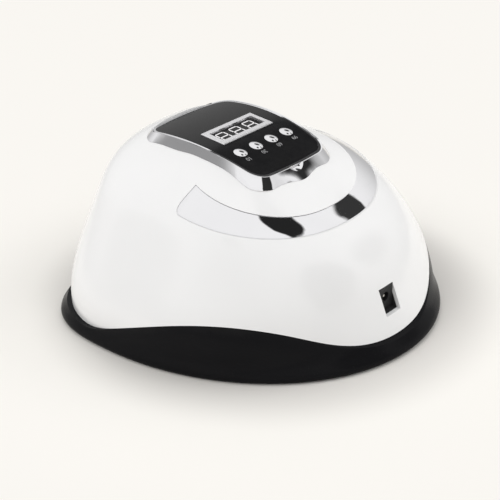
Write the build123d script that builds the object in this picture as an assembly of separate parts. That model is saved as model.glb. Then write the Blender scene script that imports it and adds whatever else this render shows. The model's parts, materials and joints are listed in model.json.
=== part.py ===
# A table-top gel nail lamp: a white domed shell on a black base frame, open at the front (+Y) for a hand.
# The control panel on top is read from the rear (-Y), where the power socket is.
# Millimetres, +Z up. The origin is on the table, in the middle of the base.
from build123d import *
from math import cos, hypot, pi, sin, sqrt
import os

# The white dome, as level rings from foot to crown: height, half width, rear and front ends, where it is
# widest, and how square the curve is behind and in front of that place.
ring_keys = ("z", "half", "rear", "front", "widest", "rear_power", "front_power")
dome_rings = [
    (-4.0, 112.0, -104.5, 99.0, 18.0, 2.1, 3.0),
    (11.0, 112.2, -98.0, 98.3, 19.0, 2.1, 3.1),
    (28.0, 110.8, -90.5, 97.5, 20.0, 2.15, 3.1),
    (55.0, 96.9, -74.5, 95.0, 22.0, 2.2, 3.1),
    (73.0, 84.0, -51.5, 94.0, 23.0, 2.3, 3.1),
    (87.0, 65.0, -24.7, 94.0, 26.0, 2.4, 3.1),
    (96.0, 46.5, -11.0, 87.0, 33.0, 2.4, 3.0),
    (101.6, 18.0, 18.0, 60.0, 40.0, 2.4, 2.6),
]
ring_points = 40
shell_wall = 2.4

# The black base follows the dome above its flared foot.
foot_rings = [
    (0.3, 114.6, -105.4, 105.6, 28.0, 2.02, 3.0),
    (1.3, 115.2, -106.2, 106.2, 28.0, 2.02, 3.0),
    (8.0, 114.0, -102.2, 103.0, 25.0, 2.05, 3.0),
    (16.0, 112.8, -96.6, 99.3, 20.5, 2.1, 3.1),
]
base_wall = 4.4
tongue_height = 5.0
seam_gap = 0.2
fit_gap = 0.15
seam_line = [(-125, 8.6), (-100, 9.4), (-72, 26.0), (-44, 32.3), (-10, 27.5), (22, 16.0), (47, 8.2), (66, 8.8),
             (82, 9.8), (96, 11.0), (125, 13.0)]
trim_front_y = 11.0
trim_corner = 5.0
trim_low_z = 78.4
trim_low_slope = 0.168
trim_high_z = 88.0
trim_high_slope = 0.262
trim_sunk = 0.4
trim_thick = 1.2
side_reach = 130.0

# Floor plate of the base, and the tray that slides out of it to the front.
floor_bottom = 5.1
floor_top = 7.6
tray_half = 90.0
tray_bend_y = -5.0
tray_rear_depth = 62.0
tray_thick = 2.0
tray_bottom = 2.8
tray_gap = 0.3
rail_wall = 4.0
rail_lip = 3.5
rail_bottom = 1.2
rail_near = -5.0
rail_far = 79.0
lip_near = 60.0
well_half = 86.0
well_rear_depth = 47.0
sill_side = 1.5
sill_back = 96.0
sill_bottom = 0.6
sheet_thick = 0.3
sheet_inset = 1.5
magnet_radius = 4.0
magnet_thick = 1.4
magnet_spread = 18.0
magnet_y = -59.5

# Hand opening in the front, an arch seen along Y, with a black surround.
arch_half = 88.0
arch_top_half = 60.0
arch_top = 66.0
arch_corner = 22.0
surround_back = 74.0
surround_width = 6.0
surround_sunk = 0.2

# Reflective liner of the hand space, a flat-walled hood with six corners.
liner_wall = 1.5
liner_top = 72.0
liner_front = 73.8
liner_low = [(94.5, -20.0), (50.0, -60.0)]
liner_high = [(63.0, -8.0), (40.0, -28.7)]

# Light boards and beads.
bead_radius = 2.5
bead_hole = 2.8
bead_out = 1.0
light_board = 1.6
ceiling_columns = 6
ceiling_rows = 5
ceiling_pitch = 18.0
ceiling_first_y = -14.0
wall_beads = 4
wall_pitch = 21.0
wall_first_y = -10.0
wall_bead_z = 40.0
wall_board_tall = 14.0
board_margin = 7.0
rear_beads = 3
spreader_thick = 1.5

# Control panel: a curved black cover in a sloping chrome bezel.
panel_radius = 156.0
panel_crest_y = 39.6
panel_crest_z = 104.8
panel_near_y = -15.5
panel_far_y = 67.0
panel_near_half = 30.0
panel_mid_half = 33.6
panel_far_half = 32.5
panel_corner = 9.5
panel_near_bow = 1.5
panel_far_bow = 4.0
panel_thick = 2.0
arc_margin = 25.0
outline_points = 64
bezel_rim = 2.4
bezel_inside = 1.6
bezel_rim_lip = 0.3
bezel_skirt_end = 3.8
bezel_skirt_side = 5.0
skirt_foot_z = 97.5
skirt_foot_y = 52.0
skirt_foot_drop = 0.00185
skirt_bury = 6.0
collar_wall = 2.0
collar_deep = 8.0
collar_ledge = 1.6
hole_gap = 0.4
scoop_bulge = 3.0
scoop_spread = 12.0
scoop_radius = 13.5
scoop_y = -25.0
scoop_z = 104.0

# Display and its frame.
window_wide = 40.4
window_deep = 13.4
window_y = 26.8
window_thick = 1.6
frame_border = 2.6
frame_lip = 0.7
frame_sink = 1.0
frame_cover = 1.0
display_wide = 37.6
display_deep = 12.0
digit_count = 3
digit_pitch = 12.2
digit_wide = 6.6
digit_tall = 9.4
segment_wide = 1.1
segment_gap = 0.3
segment_thick = 0.3

# Push buttons and the switches under them.
button_count = 4
button_pitch = 14.2
button_y = 6.0
button_radius = 4.2
button_proud = 1.3
button_gap = 0.15
button_flange = 5.4
button_flange_thick = 1.0
button_stem = 1.6
button_travel = 0.5
board_drop = 11.0
board_thick = 1.6
board_half = 26.0
board_near = -12.0
board_far = 36.0
board_posts = [(22.0, -9.2), (22.0, 31.0)]
post_radius = 2.2
switch_side = 6.0
switch_tall = 3.5
plunger_radius = 1.5
plunger_out = 1.2
plunger_in = 1.4

# Main board over the light boards.
main_half = 32.0
main_near = -4.0
main_far = 56.0
main_z = 80.0
main_thick = 1.6
main_posts = [(28.0, 1.0), (28.0, 51.0)]
coil_radius = 4.5
coil_tall = 3.6
capacitor_radius = 2.6
capacitor_tall = 3.4
ribbon_wide = 12.0
ribbon_thick = 0.8
ribbon_bend = 1.6

# Power socket in the rear.
socket_wide = 13.5
socket_low = 21.0
socket_high = 36.0
socket_face_y = -87.0
socket_deep = 12.0
socket_bore = 2.9
socket_bore_deep = 9.0
socket_pin = 1.0
socket_pin_out = 8.0
socket_z = 29.5
socket_wall = 1.8
lead_radius = 0.8
lead_spread = 2.6

# Bosses, screws and rubber feet, on both sides of the middle.
boss_radius = 3.4
boss_places = [(101.0, -8.0), (101.0, 36.0), (45.0, -70.5)]
screw_radius = 1.4
screw_bite = 9.0
screw_head = 2.8
screw_head_tall = 1.8
rubber_radius = 6.0
rubber_recess = 1.0
pad_radius = 7.5
pad_bottom = 0.8
rubber_places = [(98.0, 52.0), (68.0, -59.5)]

# Motion sensor in the ceiling of the hand space.
sensor_y = 69.5
sensor_wide = 9.0
sensor_deep = 5.0
sensor_tall = 4.0


def ring_dict(row):
    return dict(zip(ring_keys, row))


def egg_wire(ring):
    # A rounded square in front of its widest line, and nearly an ellipse behind it.
    points = []
    for k in range(ring_points):
        angle = 2 * pi * k / ring_points
        front = sin(angle) > 0
        reach = ring["front"] - ring["widest"] if front else ring["widest"] - ring["rear"]
        power = ring["front_power"] if front else ring["rear_power"]
        size = (abs(cos(angle) / ring["half"]) ** power + abs(sin(angle) / reach) ** power) ** (-1 / power)
        points.append(Vector(size * cos(angle), ring["widest"] + size * sin(angle), ring["z"]))
    return Wire([Edge.make_spline(points, periodic=True)])


def hull(rows, inset):
    # A closed form through level rings, moved in by inset along its slope. The two top rings are flat enough to
    # move straight down.
    rings = [ring_dict(row) for row in rows]
    wires = []
    for k, ring in enumerate(rings):
        if k >= len(rings) - 2:
            wires.append(egg_wire(dict(ring, z=ring["z"] - inset)))
            continue
        below, above = rings[max(k - 1, 0)], rings[k + 1]
        rise = above["z"] - below["z"]
        moved = {key: inset * hypot(1, (above[key] - below[key]) / rise) for key in ("half", "rear", "front")}
        wires.append(egg_wire(dict(ring, half=ring["half"] - moved["half"], rear=ring["rear"] + moved["rear"],
                                   front=ring["front"] - moved["front"])))
    return Solid.make_loft(wires)


def dome(inset):
    return hull(dome_rings, inset)


def base_hull(inset):
    return hull(foot_rings + dome_rings[2:], inset)


def lower_end(solid):
    return solid.faces().sort_by(Axis.Z)[0]


def wall_between(outer, inner):
    # A wall made of two closed skins whose lower ends lie in one plane.
    rim = Face(lower_end(outer).outer_wire(), [lower_end(inner).outer_wire()])
    skins = [face for solid in (outer, inner) for face in solid.faces() if not face.is_same(lower_end(solid))]
    return Solid(Shell(skins + [rim]))


def dome_wall(outer_inset, inner_inset):
    return wall_between(dome(outer_inset), dome(inner_inset))


def side_region(line, lift):
    # Everything under a line that is drawn on the side view, across the whole width.
    points = [(y, z + lift) for y, z in line]
    curve = Spline(points)
    (first_y, first_z), (last_y, last_z) = points[0], points[-1]
    frame = Polyline([(last_y, last_z), (last_y, -30), (first_y, -30), (first_y, first_z)])
    return extrude(Plane.YZ * make_face([*curve.edges(), *frame.edges()]), side_reach, both=True)


def block(x0, x1, y0, y1, z0, z1):
    return Pos((x0 + x1) / 2, (y0 + y1) / 2, (z0 + z1) / 2) * Box(x1 - x0, y1 - y0, z1 - z0)


def arch(grow, back, front):
    # The hand opening grown by grow, from back to front along Y, open at the bottom.
    slope = (arch_half - arch_top_half) / arch_top
    low = -20.0
    half_low, half_high = arch_half - slope * low + grow, arch_top_half + grow
    top = arch_top + grow
    face = make_face(Polyline([(-half_low, low), (-half_high, top), (half_high, top), (half_low, low)], close=True))
    face = fillet([v for v in face.vertices() if v.Y > 0], arch_corner + grow)
    return extrude(Plane(origin=(0, front, 0), x_dir=(1, 0, 0), z_dir=(0, -1, 0)) * face, front - back)


def tray_plan(grow, front):
    # Plan of the tray: straight sides, with half an ellipse at the rear.
    half = tray_half + grow
    rear = Pos(0, tray_bend_y) * Ellipse(half, tray_rear_depth + grow)
    return rear + Pos(0, (tray_bend_y + front) / 2) * Rectangle(2 * half, front - tray_bend_y)


def well_plan(inset, front):
    half, depth = well_half - inset, well_rear_depth - inset
    rear = Pos(0, tray_bend_y) * Ellipse(half, depth)
    return rear + Pos(0, (tray_bend_y + front) / 2) * Rectangle(2 * half, front - tray_bend_y)


def slab(plan, z0, z1):
    return Pos(0, 0, z0) * extrude(plan, z1 - z0)


def both_sides(places):
    return [(side * x, y) for x, y in places for side in (-1, 1)]


def group(solids):
    return Compound(children=[s if isinstance(s, Solid) else s.solids()[0] for s in solids])


# Places on the curved panel: a plane whose Z axis points out of the panel's face at a given y.
def panel_height(y):
    return panel_crest_z - panel_radius + sqrt(panel_radius ** 2 - (y - panel_crest_y) ** 2)


def panel_plane(y, x=0.0):
    lean = (y - panel_crest_y) / panel_radius
    return Plane(origin=(x, y, panel_height(y)), x_dir=(1, 0, 0), z_dir=(0, lean, sqrt(1 - lean ** 2)))


def panel_outline(grow):
    # Plan of the panel grown by grow: slightly bowed sides and ends with rounded corners.
    near, far = panel_near_y - grow, panel_far_y + grow
    middle = (near + far) / 2
    near_half, mid_half, far_half = panel_near_half + grow, panel_mid_half + grow, panel_far_half + grow
    lines = [
        ThreePointArc((-near_half, near), (0, near - panel_near_bow), (near_half, near)),
        ThreePointArc((near_half, near), (mid_half, middle), (far_half, far)),
        ThreePointArc((far_half, far), (0, far + panel_far_bow), (-far_half, far)),
        ThreePointArc((-far_half, far), (-mid_half, middle), (-near_half, near)),
    ]
    face = make_face([e for line in lines for e in line.edges()])
    return fillet(face.vertices(), panel_corner + grow)


def arc_height(y, depth):
    # Height of the panel's curved face moved in by depth.
    return panel_crest_z - panel_radius + sqrt((panel_radius - depth) ** 2 - (y - panel_crest_y) ** 2)


def under_arc(depth):
    # Everything below the panel's curved face moved in by depth.
    near, far, low = panel_near_y - arc_margin, panel_far_y + arc_margin, panel_crest_z - 90
    crest = ThreePointArc((near, arc_height(near, depth)), (panel_crest_y, arc_height(panel_crest_y, depth)),
                          (far, arc_height(far, depth)))
    frame = Polyline([(far, arc_height(far, depth)), (far, low), (near, low), (near, arc_height(near, depth))])
    return extrude(Plane.YZ * make_face([*crest.edges(), *frame.edges()]), 2 * panel_far_half, both=True)


def panel_plate(grow, top, bottom):
    # A plate that follows the panel's curve between two depths under its face.
    column = slab(panel_outline(grow), panel_crest_z - 40, panel_crest_z + 10)
    return column & (under_arc(top) - under_arc(bottom))


def skirt_foot(y):
    return skirt_foot_z - skirt_foot_drop * (y - skirt_foot_y) ** 2


def closed_ring(points):
    return Edge.make_spline([Vector(*p) for p in points], periodic=True)


def bezel_skirt():
    # Sloping ring from the panel's edge down to the dome, with a bulge under the thumb scoop.
    rim_wire = panel_outline(bezel_rim).wires()[0]
    inner_wire = panel_outline(-collar_wall).wires()[0]
    top, foot, buried, inside = [], [], [], []
    for k in range(outline_points):
        share = k / outline_points
        edge = rim_wire.position_at(share)
        ahead, behind = rim_wire.position_at((share + 0.004) % 1), rim_wire.position_at((share - 0.004) % 1)
        along = (ahead - behind).normalized()
        out_x, out_y = along.Y, -along.X
        if out_x * edge.X + out_y * (edge.Y - (panel_near_y + panel_far_y) / 2) < 0:
            out_x, out_y = -out_x, -out_y
        run = bezel_skirt_end + (bezel_skirt_side - bezel_skirt_end) * abs(out_x)
        bulge = 0.0
        if out_y < 0:
            bulge = scoop_bulge * 2.718 ** (-(edge.X / scoop_spread) ** 2)
        x, y = edge.X + out_x * (run + bulge), edge.Y + out_y * (run + bulge)
        top.append((edge.X, edge.Y, panel_height(edge.Y) + bezel_rim_lip))
        foot.append((x, y, skirt_foot(y)))
        buried.append((x, y, skirt_foot(y) - skirt_bury))
        inner = inner_wire.position_at(share)
        inside.append((inner.X, inner.Y, panel_height(inner.Y) - collar_deep - skirt_bury))
    rings = [closed_ring(points) for points in (top, foot, buried, inside)]
    faces = [Face.make_surface_from_curves(rings[k], rings[(k + 1) % 4]) for k in range(4)]
    ring = Solid(Shell(faces))
    return ring if ring.volume > 0 else Solid(Shell([-face for face in faces]))


def crescent_region(grow):
    # Side view of the crescent, between two sloping planes, with its lower front corner rounded.
    def low_z(y):
        return trim_low_z + trim_low_slope * y - grow

    def high_z(y):
        return trim_high_z + trim_high_slope * y + grow

    front, back = trim_front_y + grow, -side_reach
    face = make_face(Polyline([(back, low_z(back)), (front, low_z(front)), (front, high_z(front)),
                               (back, high_z(back))], close=True))
    corner = [v for v in face.vertices() if v.X > 0 and v.Y < high_z(0) - 2]
    return extrude(Plane.YZ * fillet(corner, trim_corner + grow), side_reach, both=True)


def crescent_trim():
    return dome_wall(trim_sunk, trim_sunk + trim_thick) & crescent_region(-fit_gap)


def socket_block(grow, back):
    return block(-socket_wide / 2 - grow, socket_wide / 2 + grow, socket_face_y - 20, back, socket_low - grow,
                 socket_high + grow)


def screw_hole(x, y, radius, low, high):
    return Pos(x, y, low) * Cylinder(radius, high - low, align=(Align.CENTER, Align.CENTER, Align.MIN))


def everything_under(z):
    return block(-side_reach, side_reach, -side_reach, side_reach, -30, z)


def upper_shell():
    skin = dome_wall(0, shell_wall) - side_region(seam_line, seam_gap)
    skin -= everything_under(floor_top)
    skin -= arch(surround_width + seam_gap, surround_back - seam_gap, side_reach)
    skin -= socket_block(fit_gap, socket_face_y + socket_deep + 1)
    skin -= slab(panel_outline(bezel_inside + hole_gap), dome_rings[-3][0] - 12, panel_crest_z + 5)
    skin -= dome_wall(-1, trim_sunk + trim_thick + fit_gap) & crescent_region(0)
    return skin


def screw_posts():
    posts, inside = [], dome(base_wall + fit_gap)
    for x, y in both_sides(boss_places):
        post = screw_hole(x, y, boss_radius, floor_top, dome_rings[-2][0]) & inside
        posts.append(post - screw_hole(x, y, screw_radius + 0.05, floor_top - 1, floor_top + screw_bite + 1))
    return group(posts)


def socket_bracket():
    # Sleeve that holds the socket's housing behind the shell.
    back = socket_face_y + socket_deep
    sleeve = socket_block(socket_wall + fit_gap, back) & dome(shell_wall + fit_gap)
    return sleeve - socket_block(fit_gap, back + 1)


def seam_ring():
    # Inner ring that lines the shell up with the base all along the seam.
    ring = dome_wall(shell_wall + fit_gap, base_wall) & side_region(seam_line, tongue_height)
    ring -= side_region(seam_line, fit_gap / 2)
    ring -= everything_under(floor_top)
    ring -= liner_block(-fit_gap, liner_front + 1)
    ring -= arch(surround_width + seam_gap, surround_back - seam_gap, side_reach)
    return ring - socket_block(socket_wall + 3 * fit_gap, 0)


def base_frame():
    band = wall_between(base_hull(0), base_hull(base_wall)) & side_region(seam_line, 0)
    side = tray_half + sill_side + tray_gap
    band -= block(-side, side, 0, side_reach, -1, floor_top)
    return band - arch(surround_width + seam_gap, surround_back - seam_gap, side_reach)


def floor_plate():
    # Floor inside the base, with the rails that carry the tray and the pads for the rubber feet.
    inside = base_hull(base_wall + fit_gap)
    reach = side_reach
    plate = inside & block(-reach, reach, -reach, sill_back, floor_bottom, floor_top)
    for side in (-1, 1):
        inner = tray_half + tray_gap
        wall = block(inner, inner + rail_wall, rail_near, rail_far, rail_bottom, floor_bottom)
        lip = block(inner - rail_lip, inner + 1, rail_near, rail_far, rail_bottom, tray_bottom - tray_gap)
        rail = wall + lip
        plate += rail if side > 0 else mirror(rail, Plane.YZ)
    for x, y in both_sides(rubber_places):
        plate += screw_hole(x, y, pad_radius, pad_bottom, floor_bottom)
    plate -= slab(well_plan(0, sill_back + 1), floor_bottom - 1, floor_top + 1)
    plate -= slab(tray_plan(tray_gap, reach), tray_bottom - tray_gap, floor_bottom)
    for x, y in both_sides(boss_places):
        plate -= screw_hole(x, y, screw_radius + fit_gap, floor_bottom - 1, floor_top + 1)
    for x, y in both_sides(rubber_places):
        plate -= screw_hole(x, y, rubber_radius + 0.1, -1, pad_bottom + rubber_recess)
    for x in (-magnet_spread, magnet_spread):
        plate -= screw_hole(x, magnet_y, magnet_radius + 0.1, floor_bottom - 1, floor_bottom + magnet_thick)
    return plate


def opening_surround():
    ring = arch(surround_width, surround_back, side_reach) - arch(0, 0, side_reach + 10)
    ring = ring & dome(surround_sunk)
    return ring & block(-side_reach, side_reach, 0, side_reach, floor_top, 100)


def bottom_tray():
    # A sliding plate whose front edge carries a piece of the base's own wall.
    plate = slab(tray_plan(0, sill_back + 2), tray_bottom, tray_bottom + tray_thick) & base_hull(fit_gap)
    side = tray_half + sill_side
    lip = wall_between(base_hull(0), base_hull(base_wall))
    tray = plate + (lip & block(-side, side, lip_near, side_reach, sill_bottom, floor_top - tray_gap))
    for x in (-magnet_spread, magnet_spread):
        top = tray_bottom + tray_thick
        tray -= screw_hole(x, magnet_y, magnet_radius + 0.1, top - magnet_thick, top + 1)
    return tray


def tray_sheet():
    top = tray_bottom + tray_thick
    sheet = slab(well_plan(sheet_inset, sill_back - sheet_inset), top, top + sheet_thick)
    return sheet & base_hull(base_wall + fit_gap)


def magnets(bottom):
    return group([screw_hole(x, magnet_y, magnet_radius, bottom, bottom + magnet_thick)
                  for x in (-magnet_spread, magnet_spread)])


def rubber_feet():
    top = pad_bottom + rubber_recess
    return group([chamfer(screw_hole(x, y, rubber_radius, 0, top).faces().sort_by(Axis.Z)[0].edges(), 0.4)
                  for x, y in both_sides(rubber_places)])


def case_screws():
    screws = []
    for x, y in both_sides(boss_places):
        head = screw_hole(x, y, screw_head, floor_bottom - screw_head_tall, floor_bottom)
        head -= screw_hole(x, y, screw_radius * 0.7, floor_bottom - screw_head_tall - 1,
                           floor_bottom - screw_head_tall / 2)
        screws.append(head + screw_hole(x, y, screw_radius, floor_bottom - 0.2, floor_top + screw_bite))
    return group(screws)


# The liner's planes: six corners low down and six higher up, with walls between them.
def liner_ring(places, z, inset, front):
    right = [(x - inset, y + inset) for x, y in places]
    points = [(right[0][0], front)] + right + [(-x, y) for x, y in reversed(right)] + [(-right[0][0], front)]
    return Wire([e for e in Polyline([(x, y, z) for x, y in points], close=True).edges()])


def liner_block(inset, front):
    return Solid.make_loft([liner_ring(liner_low, floor_top, inset, front),
                            liner_ring(liner_high, liner_top, inset, front)], True)


def wall_plane(side, z):
    # Outer face of a side wall (side -1 or 1) or the rear wall (side 0) at height z, its Z axis pointing outwards.
    share = (z - floor_top) / (liner_top - floor_top)
    if side:
        low, high = liner_low[0][0], liner_high[0][0]
        return Plane(origin=(side * (low + share * (high - low)), 0, z), x_dir=(0, side, 0),
                     z_dir=(side * (liner_top - floor_top), 0, low - high))
    low, high = liner_low[1][1], liner_high[1][1]
    return Plane(origin=(0, low + share * (high - low), z), x_dir=(-1, 0, 0),
                 z_dir=(0, -(liner_top - floor_top), high - low))


def ceiling_spots():
    first_x = -ceiling_pitch * (ceiling_columns - 1) / 2
    return [(first_x + ceiling_pitch * i, ceiling_first_y + ceiling_pitch * j)
            for i in range(ceiling_columns) for j in range(ceiling_rows)]


def wall_spots(side):
    # Distances along the wall's own X axis.
    if side:
        return [side * (wall_first_y + wall_pitch * k) for k in range(wall_beads)]
    return [wall_pitch * (k - (rear_beads - 1) / 2) for k in range(rear_beads)]


def inner_liner():
    hood = liner_block(0, liner_front)
    room = liner_block(liner_wall, liner_front + 10)
    room = room & block(-side_reach, side_reach, -side_reach, side_reach, -1, liner_top - liner_wall)
    hood -= room
    for x, y in ceiling_spots():
        hood -= screw_hole(x, y, bead_hole, liner_top - 2 * liner_wall, liner_top + 1)
    for side in (-1, 0, 1):
        for spot in wall_spots(side):
            hood -= wall_plane(side, wall_bead_z) * Pos(spot, 0, 0) * Cylinder(bead_hole, 4 * liner_wall)
    hood -= sensor_block(fit_gap)
    return hood


def bead(plane, spot_x, spot_y):
    # A light bead: a round base on the board, with a domed lens that looks through the liner.
    low = -(liner_wall + bead_out)
    stem = Pos(spot_x, spot_y, low / 2) * Cylinder(bead_radius, -low)
    ball = Pos(spot_x, spot_y, low + bead_radius * 1.6) * Sphere(bead_radius * 1.6)
    return plane * (stem & (ball + Pos(spot_x, spot_y, low / 2 + 1) * Cylinder(bead_radius, -low)))


def ceiling_beads():
    plane = Plane(origin=(0, 0, liner_top), x_dir=(1, 0, 0), z_dir=(0, 0, 1))
    return group([bead(plane, x, y) for x, y in ceiling_spots()])


def wall_bead_group(side):
    return group([bead(wall_plane(side, wall_bead_z), spot, 0) for spot in wall_spots(side)])


def ceiling_board(thick, bottom):
    spots = ceiling_spots()
    xs, ys = [x for x, y in spots], [y for x, y in spots]
    x1, y0, y1 = max(xs) + board_margin, min(ys) - board_margin, max(ys) + board_margin - 2
    return block(-x1, x1, y0, y1, bottom, bottom + thick)


def wall_board(side):
    spots = wall_spots(side)
    middle = (max(spots) + min(spots)) / 2
    length = max(spots) - min(spots) + 2 * board_margin
    return wall_plane(side, wall_bead_z) * Pos(middle, 0, light_board / 2) * Box(length, wall_board_tall, light_board)


def sensor_block(grow):
    top = liner_top - liner_wall - 0.4
    return block(-sensor_wide / 2 - grow, sensor_wide / 2 + grow, sensor_y - sensor_deep / 2 - grow,
                 sensor_y + sensor_deep / 2 + grow, top, top + sensor_tall)


def board_plane():
    return panel_plane(button_y).offset(-board_drop)


def board_box(x0, x1, y0, y1, z0, z1):
    return board_plane() * block(x0, x1, y0, y1, z0, z1)


def button_spots():
    return [button_pitch * (k - (button_count - 1) / 2) for k in range(button_count)]


def board_cylinder(x, y, radius, z0, z1):
    return board_plane() * screw_hole(x, y, radius, z0, z1)


def above_board():
    return board_box(-60, 60, -60, 80, 0, 60)


def control_panel():
    plate = panel_plate(0, 0, panel_thick)
    for x, y in both_sides(board_posts):
        plate += board_cylinder(x, y, post_radius, 0, 40) & under_arc(panel_thick / 2)
    window = panel_plane(window_y)
    wide, deep = window_wide + 2 * frame_border, window_deep + 2 * frame_border
    plate -= window * block(-wide / 2 - fit_gap, wide / 2 + fit_gap, -deep / 2 - fit_gap, deep / 2 + fit_gap,
                            -frame_sink, 5)
    plate -= window * block(-window_wide / 2 - fit_gap, window_wide / 2 + fit_gap, -window_deep / 2 - fit_gap,
                            window_deep / 2 + fit_gap, -5, 5)
    for x in button_spots():
        plate -= panel_plane(button_y) * Pos(x, 0, 0) * Cylinder(button_radius + button_gap, 12)
    for x, y in both_sides(board_posts):
        plate -= board_cylinder(x, y, screw_radius * 0.7, -1, 4)
    return plate


def panel_bezel():
    # Chrome skirt with its thumb scoop, open in the middle for the panel's carrier.
    ring = bezel_skirt() - dome(-fit_gap)
    ring -= slab(panel_outline(bezel_inside), panel_crest_z - 40, panel_crest_z + 10)
    return ring - Pos(0, scoop_y, scoop_z) * Sphere(scoop_radius)


def panel_carrier():
    # Collar inside the bezel, with a ledge that the panel's cover sits on.
    column = slab(panel_outline(bezel_inside - fit_gap), panel_crest_z - 40, panel_crest_z + 10)
    collar = (column & under_arc(0)) - under_arc(collar_deep)
    collar -= slab(panel_outline(fit_gap), panel_crest_z - 40, panel_crest_z + 10) - under_arc(panel_thick + fit_gap / 4)
    return collar - slab(panel_outline(-collar_ledge), panel_crest_z - 60, panel_crest_z + 10)


def display_frame():
    wide, deep = window_wide + 2 * frame_border, window_deep + 2 * frame_border
    outer = block(-wide / 2, wide / 2, -deep / 2, deep / 2, -frame_sink, frame_lip)
    top = outer.faces().sort_by(Axis.Z)[-1]
    outer = chamfer(top.edges(), frame_lip * 0.8)
    half_x, half_y = window_wide / 2 - frame_cover, window_deep / 2 - frame_cover
    outer -= block(-half_x, half_x, -half_y, half_y, -5, 5)
    return panel_plane(window_y) * outer


def display_window():
    top = -frame_sink
    return panel_plane(window_y) * block(-window_wide / 2, window_wide / 2, -window_deep / 2, window_deep / 2,
                                         top - window_thick, top)


def display_module():
    top = -frame_sink - window_thick - segment_thick
    module = panel_plane(window_y) * block(-display_wide / 2, display_wide / 2, -display_deep / 2, display_deep / 2,
                                           top - 20, top)
    return module & above_board()


def segment(x, y, long, upright):
    # One bar of a digit, pointed at both ends.
    a, b = long / 2, segment_wide / 2
    points = [(-a, 0), (-a + b, b), (a - b, b), (a, 0), (a - b, -b), (-a + b, -b)]
    if upright:
        points = [(v, u) for u, v in points]
    return Pos(x, y) * make_face(Polyline(points, close=True))


def display_digits():
    bottom = -frame_sink - window_thick - segment_thick
    half_w, half_t = (digit_wide - segment_wide) / 2, (digit_tall - segment_wide) / 2
    across, up = 2 * half_w - segment_gap, half_t - segment_gap
    bars = []
    for k in range(digit_count):
        x = digit_pitch * (k - (digit_count - 1) / 2)
        faces = [segment(x, y, across, False) for y in (-half_t, 0, half_t)]
        faces += [segment(x + sx, sy * half_t / 2, up, True) for sx in (-half_w, half_w) for sy in (-1, 1)]
        bars += [panel_plane(window_y) * Pos(0, 0, bottom) * extrude(face, segment_thick) for face in faces]
    return group(bars)


def button_cap(x):
    # Domed cap, a flange that keeps it in, and a stem down to the switch.
    cap = screw_hole(0, 0, button_radius, -panel_thick - button_gap - 0.2, button_proud)
    rounding = Pos(0, 0, button_proud - 9.0) * Sphere(9.0)
    cap = cap & (rounding + screw_hole(0, 0, button_radius, -10, button_proud - 1.2))
    flange_top = -panel_thick - button_gap
    cap += screw_hole(0, 0, button_flange, flange_top - button_flange_thick, flange_top)
    cap += screw_hole(0, 0, button_stem, -board_drop + switch_tall + plunger_out, flange_top - 0.2)
    return panel_plane(button_y) * Pos(x, 0, 0) * cap


def switch_plunger(x):
    return board_cylinder(x, 0, plunger_radius, switch_tall - plunger_in, switch_tall + plunger_out)


def switch_housings():
    half = switch_side / 2
    solids = []
    for x in button_spots():
        body = board_box(x - half, x + half, -half, half, 0, switch_tall)
        bore = board_cylinder(x, 0, plunger_radius + 0.08, switch_tall - plunger_in - button_travel - 0.1,
                              switch_tall + 1)
        solids.append(body - bore)
    return group(solids)


def panel_board():
    board = board_box(-board_half, board_half, board_near, board_far, -board_thick, 0)
    for x, y in both_sides(board_posts):
        board -= board_cylinder(x, y, screw_radius * 0.8, -board_thick - 1, 1)
    return board


def board_screws():
    solids = []
    for x, y in both_sides(board_posts):
        shaft = board_cylinder(x, y, screw_radius * 0.65, -board_thick - 0.2, 3.5)
        solids.append(shaft + board_cylinder(x, y, screw_radius * 1.6, -board_thick - 1.4, -board_thick))
    return group(solids)


def main_board():
    board = block(-main_half, main_half, main_near, main_far, main_z, main_z + main_thick)
    for x, y in both_sides(main_posts):
        board -= screw_hole(x, y, screw_radius * 0.8, main_z - 1, main_z + main_thick + 1)
    return board


def board_pillars():
    low = liner_top + light_board + spreader_thick
    solids = []
    for x, y in both_sides(main_posts):
        pillar = Pos(x, y, low) * extrude(RegularPolygon(2.6, 6), main_z - low)
        solids.append(pillar - screw_hole(x, y, screw_radius * 0.7, main_z - 3, main_z + 1))
    return group(solids)


def pillar_screws():
    top = main_z + main_thick
    solids = []
    for x, y in both_sides(main_posts):
        shaft = screw_hole(x, y, screw_radius * 0.65, main_z - 2.5, top + 0.2)
        solids.append(shaft + screw_hole(x, y, screw_radius * 1.6, top, top + 1.4))
    return group(solids)


def driver_coils():
    top = main_z + main_thick
    solids = []
    for x, y in ((-16.0, 18.0), (16.0, 18.0)):
        spool = screw_hole(x, y, coil_radius, top, top + coil_tall)
        spool -= Pos(x, y, top + coil_tall / 2) * (Cylinder(coil_radius + 1, coil_tall - 1.2)
                                                   - Cylinder(coil_radius - 1.0, coil_tall))
        solids.append(spool)
    return group(solids)


def driver_capacitors():
    top = main_z + main_thick
    return group([screw_hole(x, y, capacitor_radius, top, top + capacitor_tall)
                  for x, y in ((-6.0, 28.0), (6.0, 28.0), (-22.0, 34.0), (22.0, 34.0))])


def driver_chips():
    top = main_z + main_thick
    return group([block(-4.0, 4.0, 14.0, 20.0, top, top + 1.4), block(10.0, 15.0, 33.0, 37.0, top, top + 1.2)])


def lead_connector():
    top = main_z + main_thick
    return block(-5.5, 5.5, main_near + 1, main_near + 8, top, top + 3.6)


def panel_header():
    return board_box(-ribbon_wide / 2 - 1, ribbon_wide / 2 + 1, 27, 31, -board_thick - 2.6, -board_thick)


def main_header():
    y = main_far - 8.0
    top = main_z + main_thick
    return block(-ribbon_wide / 2 - 1, ribbon_wide / 2 + 1, y - 2, y + 2, top, top + 2.6)


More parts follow.
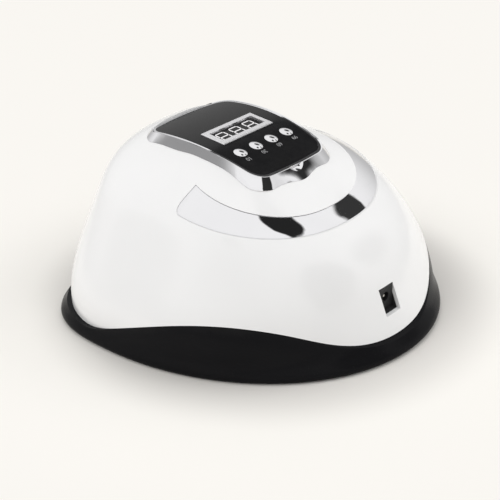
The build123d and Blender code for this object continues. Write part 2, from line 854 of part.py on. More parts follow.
def ribbon_cable():
    # A flat cable between the two boards, folded once.
    start = panel_header().center()
    y0, y1 = start.Y, main_far - 8.0
    top, low = start.Z, main_z + main_thick + 2.6
    middle = (top + low) / 2 - 1
    path = FilletPolyline((y0, top), (y0, middle), (y1, middle), (y1, low), radius=ribbon_bend)
    strip = Plane.YZ * trace(path, ribbon_thick)
    strip = extrude(strip, ribbon_wide / 2, both=True)
    return strip - panel_header() - panel_board() - main_header()


def dc_jack():
    half = socket_wide / 2
    body = block(-half, half, socket_face_y, socket_face_y + socket_deep, socket_low, socket_high)
    bore = Pos(0, socket_face_y, socket_z) * Rot(-90, 0, 0) * Cylinder(
        socket_bore, 2 * socket_bore_deep)
    return body - bore


def jack_pin():
    deep = socket_face_y + socket_bore_deep
    pin = Pos(0, deep - socket_pin_out / 2, socket_z) * Rot(90, 0, 0) * Cylinder(socket_pin, socket_pin_out)
    return fillet(pin.faces().sort_by(Axis.Y)[0].edges(), 0.5)


def jack_contacts():
    back = socket_face_y + socket_deep
    return group([block(x - 1.0, x + 1.0, back, back + 3.0, socket_z - 1.5, socket_z + 1.5)
                  for x in (-lead_spread, lead_spread)])


def power_lead(x):
    # One of the two wires from the socket up behind the liner to the main board.
    start_y = socket_face_y + socket_deep + 3.0
    end_y, end_z = main_near + 1, main_z + main_thick + 2.0
    route = [(x, start_y, socket_z), (x, start_y + 8, socket_z + 3), (x, start_y + 14, socket_z + 20),
             (x, start_y + 27, socket_z + 37), (x, start_y + 44, socket_z + 47), (x, end_y - 11, end_z),
             (x, end_y, end_z)]
    path = FilletPolyline(*route, radius=6.0)
    start = Plane(origin=route[0], z_dir=Vector(*route[1]) - Vector(*route[0]))
    tube = sweep(start * Circle(lead_radius), path)
    return tube - jack_contacts() - lead_connector()


os.makedirs("parts", exist_ok=True)
pieces = {
    "upper_shell": upper_shell,
    "base_frame": base_frame,
    "floor_plate": floor_plate,
    "seam_ring": seam_ring,
    "screw_posts": screw_posts,
    "socket_bracket": socket_bracket,
    "opening_surround": opening_surround,
    "crescent_trim": crescent_trim,
    "panel_bezel": panel_bezel,
    "panel_carrier": panel_carrier,
    "control_panel": control_panel,
    "display_frame": display_frame,
    "display_window": display_window,
    "display_module": display_module,
    "display_digits": display_digits,
    "switch_housings": switch_housings,
    "panel_board": panel_board,
    "board_screws": board_screws,
    "panel_header": panel_header,
    "ribbon_cable": ribbon_cable,
    "main_header": main_header,
    "main_board": main_board,
    "board_pillars": board_pillars,
    "pillar_screws": pillar_screws,
    "driver_coils": driver_coils,
    "driver_capacitors": driver_capacitors,
    "driver_chips": driver_chips,
    "lead_connector": lead_connector,
    "dc_jack": dc_jack,
    "jack_pin": jack_pin,
    "jack_contacts": jack_contacts,
    "positive_lead": lambda: power_lead(lead_spread),
    "negative_lead": lambda: power_lead(-lead_spread),
    "inner_liner": inner_liner,
    "ceiling_light_board": lambda: ceiling_board(light_board, liner_top),
    "heat_spreader": lambda: ceiling_board(spreader_thick, liner_top + light_board),
    "ceiling_beads": ceiling_beads,
    "left_light_board": lambda: wall_board(-1),
    "right_light_board": lambda: wall_board(1),
    "rear_light_board": lambda: wall_board(0),
    "left_beads": lambda: wall_bead_group(-1),
    "right_beads": lambda: wall_bead_group(1),
    "rear_beads": lambda: wall_bead_group(0),
    "motion_sensor": lambda: sensor_block(0),
    "bottom_tray": bottom_tray,
    "tray_sheet": tray_sheet,
    "tray_magnets": lambda: magnets(tray_bottom + tray_thick - magnet_thick),
    "base_magnets": lambda: magnets(floor_bottom),
    "rubber_feet": rubber_feet,
    "case_screws": case_screws,
}
for number, x in enumerate(button_spots(), 1):
    pieces[f"button_cap_{number}"] = lambda x=x: button_cap(x)
    pieces[f"switch_plunger_{number}"] = lambda x=x: switch_plunger(x)
for name, make in pieces.items():
    shape = make()
    export_step(shape, f"parts/{name}.step")
    print(name, len(shape.solids()), round(shape.volume, 1))
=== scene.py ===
import bpy
import bmesh
import json
import math
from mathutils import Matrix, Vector


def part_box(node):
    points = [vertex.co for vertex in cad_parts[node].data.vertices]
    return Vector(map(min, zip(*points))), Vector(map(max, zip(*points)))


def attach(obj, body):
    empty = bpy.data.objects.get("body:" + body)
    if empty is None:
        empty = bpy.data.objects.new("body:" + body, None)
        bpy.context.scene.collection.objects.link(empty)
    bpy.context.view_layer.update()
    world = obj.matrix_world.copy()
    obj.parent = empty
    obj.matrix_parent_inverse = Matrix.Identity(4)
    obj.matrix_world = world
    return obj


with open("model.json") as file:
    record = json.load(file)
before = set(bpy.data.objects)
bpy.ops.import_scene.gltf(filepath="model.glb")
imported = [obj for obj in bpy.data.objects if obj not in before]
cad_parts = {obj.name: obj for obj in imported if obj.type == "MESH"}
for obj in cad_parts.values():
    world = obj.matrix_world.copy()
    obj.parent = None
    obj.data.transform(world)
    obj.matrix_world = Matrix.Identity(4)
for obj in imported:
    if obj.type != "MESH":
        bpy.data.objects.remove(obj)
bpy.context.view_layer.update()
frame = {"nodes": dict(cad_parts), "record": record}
nodes = frame["nodes"]
scene = bpy.context.scene
print("stage: frame loaded,", len(nodes), "nodes")


def pointAt(obj, place, target):
    obj.location = place
    obj.rotation_euler = (Vector(target) - Vector(place)).to_track_quat("-Z", "Y").to_euler()


# camera, solved from the outline of the lamp in the photograph
camera = {"place": (-0.6152, -0.5009, 0.4396), "target": (0.0, 0.028, 0.050), "lens": 104.0, "sensor": 36.0,
          "shiftX": 0.0286, "shiftY": -0.0824, "nearest": 0.01}


def addCamera():
    data = bpy.data.cameras.new("camera")
    data.lens = camera["lens"]
    data.sensor_width = camera["sensor"]
    data.shift_x = camera["shiftX"]
    data.shift_y = camera["shiftY"]
    data.clip_start = camera["nearest"]
    obj = bpy.data.objects.new("camera", data)
    scene.collection.objects.link(obj)
    pointAt(obj, camera["place"], camera["target"])
    scene.camera = obj


def feed(tree, socket, value):
    # links another node's output, or sets a plain number or an RGB colour
    if hasattr(value, "links"):
        tree.links.new(value, socket)
    else:
        socket.default_value = (*value, 1.0) if isinstance(value, tuple) else value


def mathNode(tree, operation, first, second, clamp=False):
    node = tree.nodes.new("ShaderNodeMath")
    node.operation = operation
    node.use_clamp = clamp
    feed(tree, node.inputs[0], first)
    feed(tree, node.inputs[1], second)
    return node.outputs[0]


def times(tree, first, second, clamp=False):
    return mathNode(tree, "MULTIPLY", first, second, clamp)


def maskOver(tree, value, start, gain):
    # nothing below the start, then rising by the gain up to 1
    return times(tree, mathNode(tree, "SUBTRACT", value, start), gain, True)


def noiseNode(tree, place, scale, detail, rough=0.5):
    node = tree.nodes.new("ShaderNodeTexNoise")
    node.inputs["Detail"].default_value = detail
    node.inputs["Roughness"].default_value = rough
    feed(tree, node.inputs["Scale"], scale)
    tree.links.new(place, node.inputs["Vector"])
    return node.outputs["Fac"]


def objectPlace(tree):
    return tree.nodes.new("ShaderNodeTexCoord").outputs["Object"]


# shader node groups that several finishes share
def newGroup(name, inputs, outputs):
    tree = bpy.data.node_groups.new(name, "ShaderNodeTree")
    for label, value in inputs.items():
        socket = tree.interface.new_socket(name=label, in_out="INPUT", socket_type="NodeSocketFloat")
        socket.default_value = value
    for label in outputs:
        tree.interface.new_socket(name=label, in_out="OUTPUT", socket_type="NodeSocketFloat")
    return tree, tree.nodes.new("NodeGroupInput"), tree.nodes.new("NodeGroupOutput")


# skin of moulded or plated parts, with sizes in cycles per metre
skinLook = {"peel": 900.0, "peelDetail": 2.0, "wave": 30.0, "waveDetail": 1.0, "waveShare": 0.5}


def buildSkinGroup():
    # height of the skin: long soft waves with a fine peel on top
    tree, into, out = newGroup("mouldedSkin", {"Peel Scale": skinLook["peel"], "Wave Scale": skinLook["wave"],
                                               "Wave Share": skinLook["waveShare"]}, ("Height", "Mottle"))
    place = objectPlace(tree)
    peel = noiseNode(tree, place, into.outputs["Peel Scale"], skinLook["peelDetail"])
    wave = noiseNode(tree, place, into.outputs["Wave Scale"], skinLook["waveDetail"])
    height = mathNode(tree, "ADD", peel, times(tree, wave, into.outputs["Wave Share"]))
    tree.links.new(height, out.inputs["Height"])
    tree.links.new(wave, out.inputs["Mottle"])
    return tree


# handled edges, broken up by a grain, and fine rubbed scratches
wearLook = {"edge": 0.5, "edgeStart": 0.52, "edgeGain": 14.0, "grain": 220.0, "grainDetail": 4.0,
            "grainRough": 0.7, "scratch": 0.3, "scratchStart": 0.66, "scratchGain": 6.0, "scratchDetail": 2.0,
            "scratchStretch": (60.0, 700.0, 400.0), "scratchTurn": (0.2, 0.1, 0.5)}


def buildWearGroup():
    tree, into, out = newGroup("softWear", {"Edge": wearLook["edge"], "Scratch": wearLook["scratch"]},
                               ("Mask",))
    place = objectPlace(tree)
    pointed = tree.nodes.new("ShaderNodeNewGeometry").outputs["Pointiness"]
    ridge = maskOver(tree, pointed, wearLook["edgeStart"], wearLook["edgeGain"])
    broken = noiseNode(tree, place, wearLook["grain"], wearLook["grainDetail"], wearLook["grainRough"])
    edge = times(tree, times(tree, ridge, broken), into.outputs["Edge"])
    stretch = tree.nodes.new("ShaderNodeMapping")
    stretch.inputs["Scale"].default_value = wearLook["scratchStretch"]
    stretch.inputs["Rotation"].default_value = wearLook["scratchTurn"]
    tree.links.new(place, stretch.inputs["Vector"])
    line = noiseNode(tree, stretch.outputs["Vector"], 1.0, wearLook["scratchDetail"])
    line = maskOver(tree, line, wearLook["scratchStart"], wearLook["scratchGain"])
    line = times(tree, line, into.outputs["Scratch"])
    tree.links.new(mathNode(tree, "ADD", edge, line, True), out.inputs["Mask"])
    return tree


# sparse settled specks, more on faces that look up
dustLook = {"amount": 0.3, "speck": 1500.0, "speckStart": 0.64, "speckGain": 9.0, "cloud": 40.0,
            "detail": 2.0, "facingStart": -0.2, "facingGain": 0.8}


def buildDustGroup():
    tree, into, out = newGroup("settledDust", {"Amount": dustLook["amount"]}, ("Mask",))
    place = objectPlace(tree)
    parts = tree.nodes.new("ShaderNodeSeparateXYZ")
    tree.links.new(tree.nodes.new("ShaderNodeNewGeometry").outputs["Normal"], parts.inputs[0])
    facing = maskOver(tree, parts.outputs["Z"], dustLook["facingStart"], dustLook["facingGain"])
    speck = noiseNode(tree, place, dustLook["speck"], dustLook["detail"])
    speck = maskOver(tree, speck, dustLook["speckStart"], dustLook["speckGain"])
    cloud = noiseNode(tree, place, dustLook["cloud"], dustLook["detail"])
    mask = times(tree, times(tree, speck, cloud), facing)
    tree.links.new(times(tree, mask, into.outputs["Amount"], True), out.inputs["Mask"])
    return tree


# fine parallel grain of plated and rolled metal, in cycles per metre
brushLook = {"along": 40.0, "across": 2200.0, "detail": 3.0}


def buildBrushGroup():
    tree, into, out = newGroup("brushGrain", {"Along X": brushLook["along"], "Across": brushLook["across"]},
                               ("Grain",))
    size = tree.nodes.new("ShaderNodeCombineXYZ")
    for axis, source in (("X", "Along X"), ("Y", "Across"), ("Z", "Across")):
        tree.links.new(into.outputs[source], size.inputs[axis])
    scaled = tree.nodes.new("ShaderNodeVectorMath")
    scaled.operation = "MULTIPLY"
    tree.links.new(objectPlace(tree), scaled.inputs[0])
    tree.links.new(size.outputs[0], scaled.inputs[1])
    tree.links.new(noiseNode(tree, scaled.outputs[0], 1.0, brushLook["detail"]), out.inputs["Grain"])
    return tree


groups = {"skin": buildSkinGroup(), "wear": buildWearGroup(),
          "dust": buildDustGroup(), "brush": buildBrushGroup()}
print("stage: shared effects built,", len(groups))


def placeGroup(tree, key, **values):
    node = tree.nodes.new("ShaderNodeGroup")
    node.node_tree = groups[key]
    for label, value in values.items():
        node.inputs[label.replace("_", " ")].default_value = value
    return node


def startMaterial(name):
    material = bpy.data.materials.new(name)
    material.use_nodes = True
    tree = material.node_tree
    return material, tree, tree.nodes["Principled BSDF"]


def mixColour(tree, mask, first, second):
    node = tree.nodes.new("ShaderNodeMix")
    node.data_type = "RGBA"
    tree.links.new(mask, node.inputs["Factor"])
    feed(tree, node.inputs[6], first)  # the two colours and the mixed one sit at these places of a Mix node
    feed(tree, node.inputs[7], second)
    return node.outputs[2]


def spread(tree, value, source, target, kind="LINEAR"):
    # carries a value from one range over to another
    node = tree.nodes.new("ShaderNodeMapRange")
    node.interpolation_type = kind
    for label, number in zip(("From Min", "From Max", "To Min", "To Max"), (*source, *target)):
        node.inputs[label].default_value = number
    tree.links.new(value, node.inputs["Value"])
    return node.outputs["Result"]


def roughen(tree, rough, mask, amount):
    return mathNode(tree, "ADD", rough, times(tree, mask, amount), True)


def addBump(tree, shader, height, look):
    node = tree.nodes.new("ShaderNodeBump")
    node.inputs["Strength"].default_value = look["bump"]
    node.inputs["Distance"].default_value = look["bumpDepth"]
    tree.links.new(height, node.inputs["Height"])
    tree.links.new(node.outputs["Normal"], shader.inputs["Normal"])


def plasticFinish(name, look):
    # moulded plastic: peel, faint mottle, rubbed edges and a little dust
    material, tree, shader = startMaterial(name)
    skin = placeGroup(tree, "skin", Peel_Scale=look["peel"], Wave_Scale=look["wave"])
    wear = placeGroup(tree, "wear", Edge=look["edge"], Scratch=look["scratch"]).outputs["Mask"]
    dust = placeGroup(tree, "dust", Amount=look["dust"]).outputs["Mask"]
    base = mixColour(tree, skin.outputs["Mottle"], look["colour"], look["colour2"])
    worn = mixColour(tree, wear, base, look["worn"])
    tree.links.new(mixColour(tree, dust, worn, look["dustColour"]), shader.inputs["Base Color"])
    rough = spread(tree, skin.outputs["Mottle"], (0.0, 1.0), look["rough"])
    rough = roughen(tree, roughen(tree, rough, wear, look["wornRough"]), dust, look["dustRough"])
    tree.links.new(rough, shader.inputs["Roughness"])
    shader.inputs["IOR"].default_value = look["ior"]
    shader.inputs["Specular IOR Level"].default_value = look["shine"]
    shader.inputs["Coat Weight"].default_value = look["coat"]
    shader.inputs["Coat Roughness"].default_value = look["coatRough"]
    # painted light: a finish with a glow emits its paler colour, so the part looks lit though it is no lamp
    if "glow" in look:
        shader.inputs["Emission Color"].default_value = (*look["colour2"], 1.0)
        shader.inputs["Emission Strength"].default_value = look["glow"]
    addBump(tree, shader, skin.outputs["Height"], look)
    return material


def metalFinish(name, look):
    # plated or bare metal: fine grain, smudges and rubbed edges
    material, tree, shader = startMaterial(name)
    skin = placeGroup(tree, "skin", Peel_Scale=look["peel"], Wave_Scale=look["wave"])
    grain = placeGroup(tree, "brush").outputs["Grain"]
    wear = placeGroup(tree, "wear", Edge=look["edge"], Scratch=look["scratch"]).outputs["Mask"]
    base = mixColour(tree, skin.outputs["Mottle"], look["colour"], look["colour2"])
    tree.links.new(mixColour(tree, wear, base, look["worn"]), shader.inputs["Base Color"])
    rough = roughen(tree, spread(tree, grain, (0.0, 1.0), look["rough"]), wear, look["wornRough"])
    tree.links.new(rough, shader.inputs["Roughness"])
    shader.inputs["Metallic"].default_value = 1.0
    height = mathNode(tree, "ADD", times(tree, grain, look["grainShare"]), skin.outputs["Height"])
    addBump(tree, shader, height, look)
    return material


# what a finish keeps unless its own entry says otherwise
plasticUsual = {"wave": 30.0, "edge": 0.4, "scratch": 0.2, "dust": 0.2, "dustColour": (0.6, 0.58, 0.55),
                "wornRough": 0.25, "dustRough": 0.4, "ior": 1.5, "shine": 0.5, "coat": 0.0, "coatRough": 0.05,
                "bump": 0.05, "bumpDepth": 0.0002}
metalUsual = {"peel": 500.0, "wave": 45.0, "edge": 0.3, "scratch": 0.3, "wornRough": 0.2, "grainShare": 0.5,
              "bump": 0.03, "bumpDepth": 0.0002}


def plastic(**look):
    return plasticFinish, {**plasticUsual, **look}


def metal(**look):
    return metalFinish, {**metalUsual, **look}


finishes = {
    "white_shell": plastic(
        colour=(0.84, 0.84, 0.845), colour2=(0.87, 0.87, 0.875), worn=(0.78, 0.77, 0.75),
        rough=(0.16, 0.24), peel=700.0, bump=0.02, coat=0.5, dust=0.06, edge=0.1, scratch=0.03),
    "black_base": plastic(
        colour=(0.007, 0.007, 0.008), colour2=(0.010, 0.010, 0.011), worn=(0.03, 0.03, 0.03),
        rough=(0.16, 0.24), peel=800.0, bump=0.03, shine=0.045, dust=0.05, edge=0.3, scratch=0.06),
    "black_panel": plastic(
        colour=(0.006, 0.006, 0.007), colour2=(0.009, 0.009, 0.010), worn=(0.03, 0.03, 0.03),
        rough=(0.10, 0.16), peel=500.0, bump=0.01, shine=0.07, dust=0.04, scratch=0.05),
    "chrome_trim": metal(
        colour=(0.78, 0.78, 0.80), colour2=(0.83, 0.83, 0.85), worn=(0.62, 0.62, 0.64),
        rough=(0.015, 0.035), grainShare=0.05, bump=0.01, scratch=0.12),
    "silver_trim": metal(
        colour=(0.86, 0.86, 0.88), colour2=(0.90, 0.90, 0.92), worn=(0.7, 0.7, 0.71),
        rough=(0.34, 0.44)),
    "silver_button": metal(
        colour=(0.74, 0.74, 0.76), colour2=(0.80, 0.80, 0.82), worn=(0.5, 0.5, 0.5),
        rough=(0.06, 0.12), grainShare=0.2),
    "dark_plastic": plastic(
        colour=(0.012, 0.012, 0.013), colour2=(0.018, 0.018, 0.019), worn=(0.08, 0.08, 0.08),
        rough=(0.35, 0.5), peel=1800.0, bump=0.15, shine=0.15),
    "smoked_window": plastic(
        colour=(0.004, 0.004, 0.004), colour2=(0.006, 0.006, 0.007), worn=(0.02, 0.02, 0.02),
        rough=(0.04, 0.08), peel=300.0, bump=0.01, shine=0.1, dust=0.04, scratch=0.04),
    # painted glow: the display's bars are no lamp; their glow stands in for the light that the window keeps
    # off them
    "digit_segments": plastic(
        colour=(0.66, 0.65, 0.66), colour2=(0.74, 0.73, 0.74), worn=(0.5, 0.5, 0.5),
        rough=(0.4, 0.5), peel=2500.0, glow=0.45),
    "numeral_ink": plastic(
        colour=(0.30, 0.30, 0.31), colour2=(0.38, 0.38, 0.39), worn=(0.2, 0.2, 0.2),
        rough=(0.45, 0.55), peel=2500.0),
    "circuit_board": plastic(
        colour=(0.012, 0.11, 0.045), colour2=(0.02, 0.15, 0.06), worn=(0.35, 0.3, 0.15),
        rough=(0.25, 0.4), peel=1200.0, wave=260.0),
    "white_board": plastic(
        colour=(0.72, 0.72, 0.70), colour2=(0.78, 0.78, 0.76), worn=(0.6, 0.55, 0.4),
        rough=(0.3, 0.45), peel=1400.0, wave=200.0),
    "pale_plastic": plastic(
        colour=(0.68, 0.65, 0.55), colour2=(0.74, 0.71, 0.61), worn=(0.6, 0.58, 0.5),
        rough=(0.4, 0.55), peel=1600.0, bump=0.1),
    "ribbon": plastic(
        colour=(0.60, 0.60, 0.58), colour2=(0.70, 0.70, 0.68), worn=(0.5, 0.5, 0.5),
        rough=(0.3, 0.45), peel=900.0, wave=700.0),
    "ferrite": plastic(
        colour=(0.035, 0.035, 0.038), colour2=(0.06, 0.06, 0.063), worn=(0.12, 0.12, 0.12),
        rough=(0.5, 0.7), peel=3000.0, bump=0.3),
    "red_lead": plastic(
        colour=(0.42, 0.02, 0.015), colour2=(0.5, 0.03, 0.02), worn=(0.5, 0.1, 0.08),
        rough=(0.4, 0.5), peel=2000.0),
    "black_lead": plastic(
        colour=(0.015, 0.015, 0.015), colour2=(0.02, 0.02, 0.02), worn=(0.06, 0.06, 0.06),
        rough=(0.4, 0.5), peel=2000.0),
    "rubber": plastic(
        colour=(0.018, 0.018, 0.018), colour2=(0.028, 0.028, 0.028), worn=(0.08, 0.08, 0.075),
        rough=(0.65, 0.8), peel=2600.0, bump=0.3, dust=0.5),
    "sensor_lens": plastic(
        colour=(0.02, 0.006, 0.010), colour2=(0.03, 0.008, 0.014), worn=(0.05, 0.03, 0.03),
        rough=(0.08, 0.14), peel=600.0, coat=0.6),
    "light_bead": plastic(
        colour=(0.78, 0.70, 0.42), colour2=(0.82, 0.76, 0.52), worn=(0.7, 0.65, 0.5),
        rough=(0.08, 0.16), peel=1500.0, coat=0.6),
    "steel": metal(
        colour=(0.45, 0.45, 0.46), colour2=(0.55, 0.55, 0.56), worn=(0.7, 0.7, 0.7),
        rough=(0.25, 0.4)),
    "brass": metal(
        colour=(0.62, 0.46, 0.18), colour2=(0.70, 0.53, 0.24), worn=(0.8, 0.66, 0.4),
        rough=(0.2, 0.35)),
    "nickel": metal(
        colour=(0.60, 0.58, 0.54), colour2=(0.68, 0.66, 0.62), worn=(0.5, 0.48, 0.44),
        rough=(0.12, 0.22)),
    "capacitor_can": metal(
        colour=(0.55, 0.55, 0.57), colour2=(0.62, 0.62, 0.64), worn=(0.4, 0.4, 0.4),
        rough=(0.25, 0.4)),
    "aluminium_plate": metal(
        colour=(0.62, 0.62, 0.63), colour2=(0.70, 0.70, 0.71), worn=(0.5, 0.5, 0.5),
        rough=(0.25, 0.42), bump=0.08),
    "reflector": metal(
        colour=(0.74, 0.74, 0.75), colour2=(0.80, 0.80, 0.81), worn=(0.6, 0.6, 0.6),
        rough=(0.10, 0.2), wave=18.0, bump=0.05),
}

materials = {name: maker(name, look) for name, (maker, look) in finishes.items()}
print("stage: finishes built,", len(materials))


def dressNodes():
    for entry in frame["record"]["subparts"]:
        obj = nodes[entry["node"]]
        obj.data.materials.clear()
        obj.data.materials.append(materials[entry["material_slot"]])


# the curved cover: its crest, its radius along Y, and where the row of buttons and the window lie
panel = {"crestY": 0.0396, "crestZ": 0.1048, "radius": 0.156, "buttonY": 0.006, "windowY": 0.0268}


def panelSpot(x, y):
    # a point on the panel's face and the way out of it
    lean = (y - panel["crestY"]) / panel["radius"]
    rise = math.sqrt(1 - lean * lean)
    height = panel["crestZ"] - panel["radius"] + panel["radius"] * rise
    return Vector((x, y, height)), Vector((0.0, lean, rise))


def layOnPanel(name, data, finish, place, rotation):
    # a thin piece, set flat on the panel, that goes where the lamp goes
    data.materials.append(materials[finish])
    piece = bpy.data.objects.new(name, data)
    scene.collection.objects.link(piece)
    piece.location = place
    piece.rotation_euler = rotation
    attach(piece, "lamp")


# plain numbers behind each button, upright for someone at the hand opening
numerals = {"texts": ("10", "30", "60", "99"), "size": 0.0042, "proud": 0.00004, "aside": 0.0004,
            "behind": 0.0068}


def addNumerals():
    for index, text in enumerate(numerals["texts"], 1):
        low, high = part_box("button_cap_%d" % index)
        middle = (low + high) / 2
        curve = bpy.data.curves.new("numeral_%d" % index, "FONT")
        curve.body = text
        curve.size = numerals["size"]
        curve.align_x = "CENTER"
        curve.align_y = "CENTER"
        curve.extrude = numerals["proud"]
        place, up = panelSpot(middle.x - numerals["aside"], panel["buttonY"] - numerals["behind"])
        place += up * numerals["proud"]
        layOnPanel("numeral_%d" % index, curve, "numeral_ink", place, (math.asin(up.y), 0.0, math.pi))


# the bars of the display on the window's face, pale, with a painted glow standing in for the room light that
# the window keeps off them
digits = {"count": 3, "pitch": 0.0122, "wide": 0.0080, "tall": 0.0100, "bar": 0.0008, "gap": 0.0002,
          "sunk": 0.00097, "thick": 0.00008, "slip": -0.0006}


def digitBars():
    # middle, half length and direction of each bar of one digit
    halfWide, halfTall = (digits["wide"] - digits["bar"]) / 2, (digits["tall"] - digits["bar"]) / 2
    bars = [((0.0, y), halfWide - digits["gap"], False) for y in (-halfTall, 0.0, halfTall)]
    for x in (-halfWide, halfWide):
        bars += [((x, y), halfTall / 2 - digits["gap"], True) for y in (-halfTall / 2, halfTall / 2)]
    return bars


def addBar(form, x, y, reach, upright):
    # one bar, pointed at both ends and raised from its flat outline
    half = digits["bar"] / 2
    flat = [(-reach, 0.0), (half - reach, -half), (reach - half, -half), (reach, 0.0), (reach - half, half),
            (half - reach, half)]
    if upright:
        flat = [(-v, u) for u, v in flat]
    face = form.faces.new([form.verts.new((x + u, y + v, 0.0)) for u, v in flat])
    lifted = bmesh.ops.extrude_face_region(form, geom=[face])["geom"]
    tops = [item for item in lifted if isinstance(item, bmesh.types.BMVert)]
    bmesh.ops.translate(form, verts=tops, vec=(0.0, 0.0, digits["thick"]))


def addDigits():
    form = bmesh.new()
    for count in range(digits["count"]):
        shift = digits["pitch"] * (count - (digits["count"] - 1) / 2)
        for (x, y), reach, upright in digitBars():
            addBar(form, shift + x, y, reach, upright)
    bmesh.ops.recalc_face_normals(form, faces=form.faces)
    mesh = bpy.data.meshes.new("display_bars")
    form.to_mesh(mesh)
    form.free()
    place, up = panelSpot(0.0, panel["windowY"])
    place += Vector((0.0, up.z, -up.y)) * digits["slip"] - up * digits["sunk"]
    layOnPanel("display_bars", mesh, "digit_segments", place, (math.asin(-up.y), 0.0, 0.0))


def blendShaders(tree, share, under, over):
    node = tree.nodes.new("ShaderNodeMixShader")
    for socket, source in zip(node.inputs, (share, under.outputs[0], over.outputs[0])):
        tree.links.new(source, socket)
    return node.outputs[0]


# room: a pale floor with a painted shadow that darkens it close to the lamp; it keeps the lamp's real shadow
# and shows its own cream farther off
room = {"floorHalf": 6.0, "floorDrop": 0.0005, "floorColour": (0.93, 0.91, 0.87), "floorRough": 0.7,
        "floorShine": 0.1, "paintedShadowColour": (0.74, 0.72, 0.69), "paintedShadowReach": (0.112, 0.155),
        "shown": (0.955, 0.931, 0.889), "shownReach": (0.12, 0.26), "shownShare": (0.0, 0.93)}


def addRoom():
    mesh = bpy.data.meshes.new("floor")
    corners = ((-1, -1), (1, -1), (1, 1), (-1, 1))
    mesh.from_pydata([(x * room["floorHalf"], y * room["floorHalf"], -room["floorDrop"]) for x, y in corners],
                     [], [(0, 1, 2, 3)])
    floor = bpy.data.objects.new("floor", mesh)
    scene.collection.objects.link(floor)
    material, tree, shader = startMaterial("floor")
    shader.inputs["Roughness"].default_value = room["floorRough"]
    shader.inputs["Specular IOR Level"].default_value = room["floorShine"]
    glow = tree.nodes.new("ShaderNodeEmission")
    glow.inputs["Color"].default_value = (*room["shown"], 1.0)
    path = tree.nodes.new("ShaderNodeLightPath")
    reach = tree.nodes.new("ShaderNodeVectorMath")
    reach.operation = "LENGTH"
    tree.links.new(objectPlace(tree), reach.inputs[0])
    reach = reach.outputs["Value"]
    # painted shadow: the floor's colour turns darker close to the lamp, standing in for the shade under its
    # base
    clear = spread(tree, reach, room["paintedShadowReach"], (0.0, 1.0), "SMOOTHSTEP")
    floorAndPaintedShadow = mixColour(tree, clear, room["paintedShadowColour"], room["floorColour"])
    tree.links.new(floorAndPaintedShadow, shader.inputs["Base Color"])
    away = spread(tree, reach, room["shownReach"], room["shownShare"], "SMOOTHSTEP")
    seen = times(tree, path.outputs["Is Camera Ray"], away)
    tree.links.new(blendShaders(tree, seen, shader, glow), tree.nodes["Material Output"].inputs["Surface"])
    mesh.materials.append(material)


# what polished faces mirror: a bright room with a few soft dark cards. Each card has the way to its middle,
# in degrees round from +X and up, its two edge angles and how dark it is
mirrored = {"strength": 1.05, "floorline": 0.55, "floorlineTop": 0.6,
            "cards": {"overRear": {"round": -20.0, "up": 62.5, "inner": 6.4, "outer": 7.6, "dark": 0.98},
                      "lowRear": {"round": -8.0, "up": 38.0, "inner": 4.6, "outer": 5.8, "dark": 0.96},
                      "leftWall": {"round": 142.0, "up": 29.0, "inner": 12.0, "outer": 24.0, "dark": 0.62},
                      "nearLeft": {"round": -73.0, "up": 30.0, "inner": 16.0, "outer": 19.0, "dark": 0.97},
                      "nearWall": {"round": -33.0, "up": 27.0, "inner": 5.0, "outer": 13.0, "dark": 0.97},
                      "farRight": {"round": 23.0, "up": 39.0, "inner": 10.5, "outer": 12.5, "dark": 0.93},
                      "topLeft": {"round": -140.0, "up": 72.0, "inner": 3.0, "outer": 6.0, "dark": 0.9}}}


def cardLight(tree, aim, card):
    # share of light left in the direction aim by one card
    turn, lift = math.radians(card["round"]), math.radians(card["up"])
    middle = (math.cos(turn) * math.cos(lift), math.sin(turn) * math.cos(lift), math.sin(lift))
    dot = tree.nodes.new("ShaderNodeVectorMath")
    dot.operation = "DOT_PRODUCT"
    dot.inputs[1].default_value = middle
    tree.links.new(aim, dot.inputs[0])
    edges = [math.cos(math.radians(card[key])) for key in ("outer", "inner")]
    return spread(tree, dot.outputs["Value"], edges, (1.0, 1.0 - card["dark"]), "SMOOTHSTEP")


# the light of the room on the object itself
world = {"strength": 0.67, "tint": (1.0, 0.995, 0.985)}


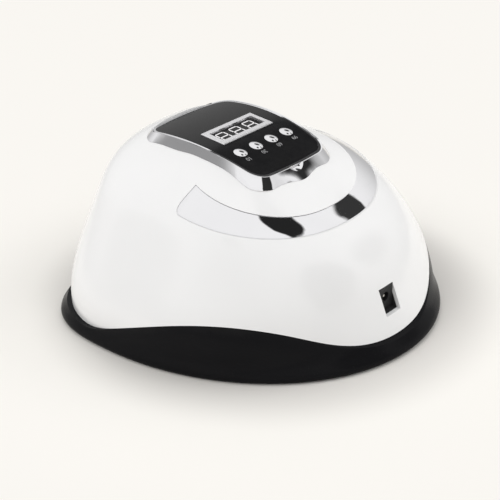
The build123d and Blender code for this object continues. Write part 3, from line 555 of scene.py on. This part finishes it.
def addWorld():
    data = bpy.data.worlds.new("room")
    scene.world = data
    data.use_nodes = True
    tree = data.node_tree
    aim = tree.nodes.new("ShaderNodeTexCoord").outputs["Generated"]
    light = mirrored["strength"]
    for card in mirrored["cards"].values():
        light = times(tree, cardLight(tree, aim, card), light)
    parts = tree.nodes.new("ShaderNodeSeparateXYZ")
    tree.links.new(aim, parts.inputs[0])
    rise = spread(tree, parts.outputs["Z"], (0.0, mirrored["floorlineTop"]), (mirrored["floorline"], 1.0),
                  "SMOOTHSTEP")
    path = tree.nodes.new("ShaderNodeLightPath")
    plain = tree.nodes.new("ShaderNodeMix")
    tree.links.new(path.outputs["Is Glossy Ray"], plain.inputs["Factor"])
    feed(tree, plain.inputs[2], world["strength"])  # the two numbers sit at these places of a Mix node
    feed(tree, plain.inputs[3], times(tree, rise, light))
    background = tree.nodes["Background"]
    background.inputs["Color"].default_value = (*world["tint"], 1.0)
    tree.links.new(plain.outputs[0], background.inputs["Strength"])
    shown = tree.nodes.new("ShaderNodeBackground")
    shown.inputs["Color"].default_value = (*room["shown"], 1.0)
    blend = blendShaders(tree, path.outputs["Is Camera Ray"], background, shown)
    tree.links.new(blend, tree.nodes["World Output"].inputs["Surface"])


# soft area lamps, which polished faces don't mirror
lamps = {"key": {"place": (-1.0, 0.4, 0.9), "size": 0.9, "power": 5.0},
         "fill": {"place": (1.1, -0.8, 0.7), "size": 1.2, "power": 8.0},
         "top": {"place": (0.1, 0.3, 1.4), "size": 1.0, "power": 2.8}}
lampAim = (0.0, 0.0, 0.05)


def addLamps():
    for name, look in lamps.items():
        data = bpy.data.lights.new(name, "AREA")
        data.size = look["size"]
        data.energy = look["power"]
        obj = bpy.data.objects.new(name, data)
        scene.collection.objects.link(obj)
        pointAt(obj, look["place"], lampAim)
        obj.visible_glossy = False


dressNodes()
addNumerals()
addDigits()
print("stage: nodes dressed, numbers and lit bars laid on the panel")

addCamera()
addRoom()
addWorld()
addLamps()
scene.view_settings.view_transform = "Standard"
print("stage: room, lamps and camera placed")
